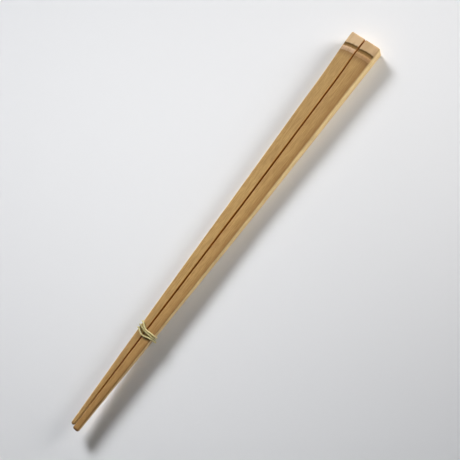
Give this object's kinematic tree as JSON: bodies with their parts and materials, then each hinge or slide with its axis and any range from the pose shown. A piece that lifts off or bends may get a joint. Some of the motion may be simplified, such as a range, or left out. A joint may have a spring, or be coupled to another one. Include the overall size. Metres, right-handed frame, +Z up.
{
  "type": "bamboo cooking chopsticks",
  "caption": "Long tapering bamboo sticks, square at the head with the culm node kept and rounder at the tip, held side by side by a wound rubber band, for stirring and turning food.",
  "frame": {"origin": "The middle of the pair's outline, on the floor that the pair lies on.", "axes": "+X runs along the sticks from the tips to the heads, +Y is across the pair toward the left stick, +Z is up."},
  "size_m": [0.3016, 0.022, 0.0104],
  "materials": {
    "bamboo": "planed bamboo, unvarnished, satin along the fibres",
    "band_rubber": "soft pale natural rubber, slightly translucent, satin"
  },
  "bodies": {
    "root": {"left_stick": "bamboo", "right_stick": "bamboo", "rubber_band": "band_rubber"}
  },
  "joints": []
}
